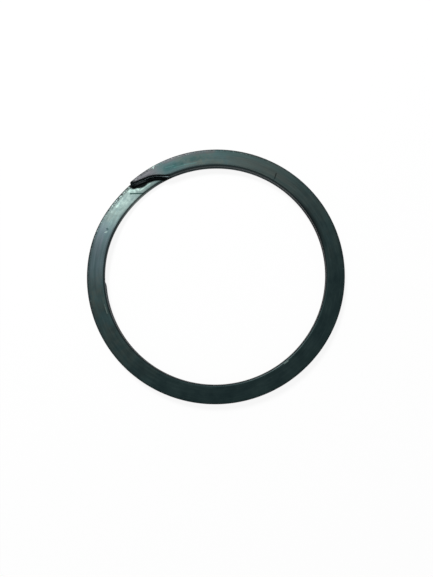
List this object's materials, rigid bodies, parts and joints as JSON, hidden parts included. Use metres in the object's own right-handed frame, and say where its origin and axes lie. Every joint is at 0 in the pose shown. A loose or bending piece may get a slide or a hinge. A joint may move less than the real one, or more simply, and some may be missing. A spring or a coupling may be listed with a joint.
{
  "type": "spiral retaining ring",
  "caption": "External spiral retaining ring: flat spring wire coiled on edge into close turns, with a stepped crossover and finger-cut ends.",
  "frame": {"origin": "centre of the ring, at the face it lies on", "axes": "+Z along the ring's axis; +Y towards the middle of the crossover, where the upper turn steps down to the lower one; +X to the right of it"},
  "size_m": [0.0444, 0.0445, 0.0016],
  "materials": {
    "blackened_spring_steel": "blackened and lightly oiled rolled spring steel, satin, with fine streaks along the wire"
  },
  "bodies": {
    "root": {"spiral_ring": "blackened_spring_steel"}
  },
  "joints": []
}
